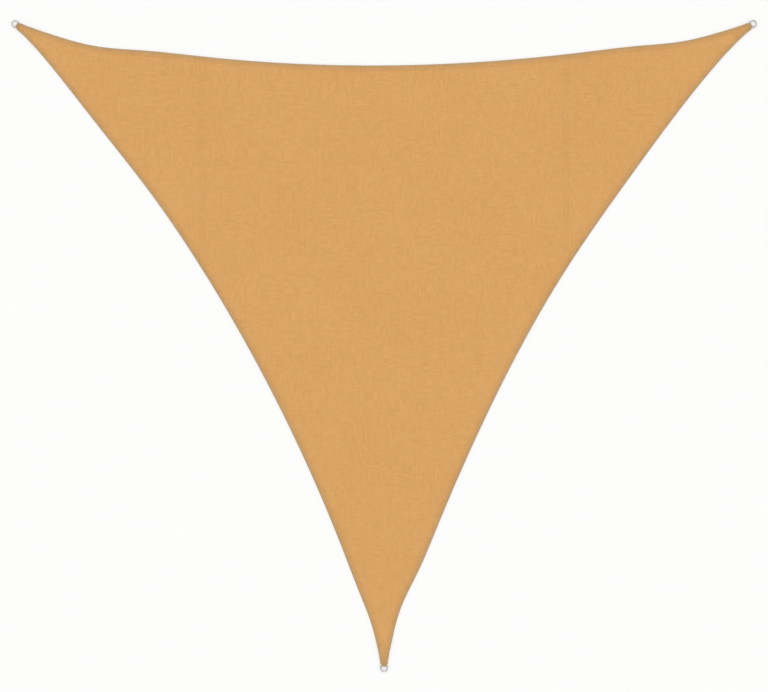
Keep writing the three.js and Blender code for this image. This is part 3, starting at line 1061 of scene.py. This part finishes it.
class SAIL_OT_stitches(bpy.types.Operator):
    """Sew the hems, the seams and the corners"""

    bl_idname = "sail.stitches"
    bl_label = "Stitches"

    def execute(self, context):
        cloth, stitch = context.scene.sail_cloth, context.scene.sail_stitch
        material = thread_material(stitch)
        for name, edge in EDGES.items():
            bm = bmesh.new()
            along = np.arange(0, edge.length, ROW_STEP)
            for inset in (stitch.outer_row, stitch.inner_row):
                points = edge.point(along, inset)
                points = points[clear_of_corners(points, inset)]
                sew_through(bm, cloth, stitch, None, points)
            finish_piece(bm, f"stitches_{name}_hem", material)
        bm = bmesh.new()
        for side in (-1, 1):
            for row in seam_rows(cloth):
                y = np.arange(TOP_Y - DROP, TOP_Y, SEAM_STEP)
                x = np.full_like(y, side * row)
                points = np.stack([x, y], -1)[edge_distance(x, y) > SEAM_INSET]
                sew_through(bm, cloth, stitch, "middle", points)
        finish_piece(bm, "stitches_seams", material)
        for corner in CORNERS:
            bm = bmesh.new()
            for line in corner_rows():
                start, end = (np.array((to_corner(corner) @ Vector((*p, 0)))[:2]) for p in line)
                points = start + np.linspace(0, 1, BOX_POINTS)[:, None] * (end - start)
                sew_through(bm, cloth, stitch, None, points)
            finish_piece(bm, f"stitches_{corner}_corner", material)
        return {"FINISHED"}


# ---------------------------------------------------------------- webbing loops

WEBBING_COLUMNS = 61
WEBBING_ROWS = 420
ARC_POINTS = 60  # of the loop's line, where it goes round the bar
SOFTEN = 3  # passes that ease the bends of the loop's line
RIB_HEIGHT = 0.12 * MM
SELVEDGE = 0.8 * MM
APART = 0.03 * MM  # between the legs where they are sewn together


def webbing_line(webbing, ring):
    """The loop's middle line as x and z, its normals, and the distance along it."""
    radius = ring.wire / 2 + GAP + webbing.thickness / 2
    bar = ring.wire / 2 + GAP + webbing.thickness
    low = CLOTH + GAP + webbing.thickness / 2 - bar
    high = low + webbing.thickness
    turns = []
    for height, side in ((low, 1), (high, -1)):
        to_merge = math.atan2(height, -webbing.merge) % (2 * math.pi)
        reach = math.acos(radius / math.hypot(webbing.merge, height))
        turns.append(to_merge + side * reach)
    turns[0] -= 2 * math.pi
    arc = np.linspace(*turns, ARC_POINTS)
    knots = np.concatenate(
        [
            [(-webbing.tail, low), (-webbing.merge, low)],
            radius * np.stack([np.cos(arc), np.sin(arc)], -1),
            [(-webbing.merge, high), (-webbing.tail, high)],
        ]
    )
    run = np.concatenate([[0], np.cumsum(np.linalg.norm(np.diff(knots, axis=0), axis=1))])
    even = np.linspace(0, run[-1], WEBBING_ROWS)
    line = np.stack([np.interp(even, run, knot) for knot in knots.T], -1) + (0, bar)
    for _ in range(SOFTEN):
        line[1:-1] = (line[:-2] + 2 * line[1:-1] + line[2:]) / 4
    way = np.gradient(line, axis=0)
    way /= np.linalg.norm(way, axis=1)[:, None]
    return line, np.stack([way[:, 1], -way[:, 0]], -1), even


class SAIL_OT_webbing(bpy.types.Operator):
    """Fold a length of webbing round each ring's bar"""

    bl_idname = "sail.webbing"
    bl_label = "Webbing Loops"

    def execute(self, context):
        webbing, ring = context.scene.sail_webbing, context.scene.sail_ring
        material = webbing_material(webbing)
        line, normal, run = webbing_line(webbing, ring)
        side = np.linspace(-webbing.width / 2, webbing.width / 2, WEBBING_COLUMNS)
        rib = RIB_HEIGHT * (0.5 + 0.5 * np.cos(2 * math.pi * webbing.ribs * side / webbing.width))
        edge = np.clip((webbing.width / 2 - np.abs(side)) / SELVEDGE, 0, 1)
        half = webbing.thickness / 2 - APART - RIB_HEIGHT + rib
        half *= np.maximum(np.sqrt(1 - (1 - edge) ** 2), THINNEST)

        def place(row, column):
            faces = []
            for sign in (1, -1):
                x, z = (line[row] + sign * half[column, None] * normal[row]).T
                faces.append(np.stack([x, side[column], z], -1))
            return faces

        for corner in CORNERS:
            bm, row, column = grid_sheet(WEBBING_ROWS, WEBBING_COLUMNS, place)
            weave = bm.verts.layers.float_vector.new("weave")
            for vert, across, along in zip(bm.verts, side[column], run[row], strict=True):
                vert[weave] = (across, along, 0)
            bmesh.ops.transform(bm, matrix=to_corner(corner), verts=bm.verts[:])
            name = f"webbing_loop_{corner}"
            finish_piece(bm, name, material, [f"webbing_{corner}"])
        return {"FINISHED"}


# ---------------------------------------------------------------- D-rings

WIRE_SIDES = 20
BAR_STEPS = 6
LEG_STEPS = 2
BOW_STEPS = 40
BEND_STEPS = 8
CLEAR = 0.05 * MM  # under a ring's bow, which hangs down from its bar
JOIN = 0.01 * MM  # the wire's two ends meet within this distance


def edges_in(items):
    """Only the edges among some parts of a mesh."""
    return [item for item in items if isinstance(item, bmesh.types.BMEdge)]


def run_wire(bm, end, way, steps):
    """Carries the wire straight on from its end, and gives its new end."""
    for _ in range(steps):
        made = bmesh.ops.extrude_edge_only(bm, edges=end)["geom"]
        verts = [item for item in made if isinstance(item, bmesh.types.BMVert)]
        bmesh.ops.translate(bm, vec=way / steps, verts=verts)
        end = [edge for edge in edges_in(made) if all(vert in verts for vert in edge.verts)]
    return end


def bend_wire(bm, end, centre, angle, steps):
    """Bends the wire on from its end round a centre, and gives its new end."""
    made = bmesh.ops.spin(
        bm, geom=end, cent=centre, axis=(0, 0, 1), angle=angle, steps=steps, use_merge=False
    )
    return edges_in(made["geom_last"])


class SAIL_OT_rings(bpy.types.Operator):
    """Bend a D-ring from wire for each corner"""

    bl_idname = "sail.rings"
    bl_label = "D-Rings"

    def execute(self, context):
        webbing, ring = context.scene.sail_webbing, context.scene.sail_ring
        material = steel_material(ring)
        radius, half = ring.wire / 2, ring.width / 2
        inner = half - ring.corner
        bar = radius + GAP + webbing.thickness
        droop = math.asin((bar - radius - CLEAR) / (ring.leg + half))
        leg = ring.leg - ring.corner
        shape = (
            (run_wire, (0, -2 * inner, 0), BAR_STEPS),
            (bend_wire, (ring.corner, -inner, 0), math.pi / 2, BEND_STEPS),
            (run_wire, (leg, 0, 0), LEG_STEPS),
            (bend_wire, (ring.leg, 0, 0), math.pi, BOW_STEPS),
            (run_wire, (-leg, 0, 0), LEG_STEPS),
            (bend_wire, (ring.corner, inner, 0), math.pi / 2, BEND_STEPS),
        )
        for corner in CORNERS:
            bm = bmesh.new()
            bmesh.ops.create_circle(bm, segments=WIRE_SIDES, radius=radius)
            start = Matrix.Translation((0, inner, 0)) @ Matrix.Rotation(math.pi / 2, 4, "X")
            bmesh.ops.transform(bm, matrix=start, verts=bm.verts[:])
            end = bm.edges[:]
            for carry_on, vector, *how in shape:
                end = carry_on(bm, end, Vector(vector), *how)
            bmesh.ops.remove_doubles(bm, verts=bm.verts[:], dist=JOIN)
            hung = Matrix.Translation((0, 0, bar)) @ Matrix.Rotation(droop, 4, "Y")
            bmesh.ops.transform(bm, matrix=to_corner(corner) @ hung, verts=bm.verts[:])
            finish_piece(bm, f"d_ring_{corner}", material, [f"ring_{corner}"])
        return {"FINISHED"}


# ---------------------------------------------------------------- stage

FLOOR_DROP = 0.3 * MM  # from the ground down to the floor
SENSOR = 36.0  # the camera's width of picture, in millimetres
FARTHEST = 100.0  # the camera sees this far
KEY = ((-0.35, 0.5, 1.0), 50.0)  # direction that the light comes from, and its softness
FILL = ((0.45, -0.4, 1.0), 80.0)


class SAIL_OT_stage(bpy.types.Operator):
    """Lay the floor, and set the lights and the camera"""

    bl_idname = "sail.stage"
    bl_label = "Stage"

    def execute(self, context):
        scene = context.scene
        stage = scene.sail_stage
        bm = bmesh.new()
        bmesh.ops.create_grid(bm, x_segments=1, y_segments=1, size=stage.floor_size / 2)
        bmesh.ops.translate(bm, vec=(0, 0, -FLOOR_DROP), verts=bm.verts[:])
        mesh = bpy.data.meshes.new("floor")
        bm.to_mesh(mesh)
        bm.free()
        nodes = Nodes("pale_floor")
        colour = (*stage.floor_colour, 1)
        nodes.look({"Base Color": colour, "Roughness": 0.9, "Specular IOR Level": 0.1})
        mesh.materials.append(nodes.material)
        floor = bpy.data.objects.new("floor", mesh)
        scene.collection.objects.link(floor)

        world = bpy.data.worlds.new("studio")
        world.use_nodes = True
        surround = world.node_tree.nodes["Background"]
        surround.inputs["Color"].default_value = (1, 1, 1, 1)
        surround.inputs["Strength"].default_value = stage.sky
        scene.world = world
        lights = (("key", *KEY, stage.sun), ("fill", *FILL, stage.fill))
        for name, way, softness, strength in lights:
            light = bpy.data.lights.new(name, "SUN")
            light.energy = strength
            light.angle = math.radians(softness)
            lamp = bpy.data.objects.new(name, light)
            lamp.rotation_euler = Vector(way).to_track_quat("Z", "Y").to_euler()
            scene.collection.objects.link(lamp)

        lens = bpy.data.cameras.new("camera")
        lens.lens = stage.lens
        lens.sensor_width = SENSOR
        lens.clip_end = FARTHEST
        camera = bpy.data.objects.new("camera", lens)
        camera.location = (0, 0, stage.camera_height)
        scene.collection.objects.link(camera)
        scene.camera = camera
        scene.view_settings.view_transform = "Standard"
        return {"FINISHED"}


OPERATORS = (SAIL_OT_stage, SAIL_OT_stitches, SAIL_OT_cloth, SAIL_OT_webbing, SAIL_OT_rings)


class SAIL_PT_sidebar(bpy.types.Panel):
    """The sail's pieces and their sizes"""

    bl_label = "Shade Sail"
    bl_idname = "SAIL_PT_sidebar"
    bl_space_type = "VIEW_3D"
    bl_region_type = "UI"
    bl_category = "Shade Sail"

    def draw(self, context):
        for operator in OPERATORS:
            self.layout.operator(operator.bl_idname)
        for group in GROUPS:
            box = self.layout.box()
            settings = getattr(context.scene, group)
            for name in settings.bl_rna.properties.keys():
                if name not in {"rna_type", "name"}:
                    box.prop(settings, name)


CLASSES = (*GROUPS.values(), *OPERATORS, SAIL_PT_sidebar)


def register():
    for item in CLASSES:
        bpy.utils.register_class(item)
    for name, group in GROUPS.items():
        setattr(bpy.types.Scene, name, bpy.props.PointerProperty(type=group))


def unregister():
    for name in GROUPS:
        delattr(bpy.types.Scene, name)
    for item in reversed(CLASSES):
        bpy.utils.unregister_class(item)


def main():
    """Makes every piece in order."""
    register()
    bpy.ops.sail.stage()
    bpy.ops.sail.stitches()
    bpy.ops.sail.cloth()
    bpy.ops.sail.webbing()
    bpy.ops.sail.rings()


if __name__ == "__main__":
    main()
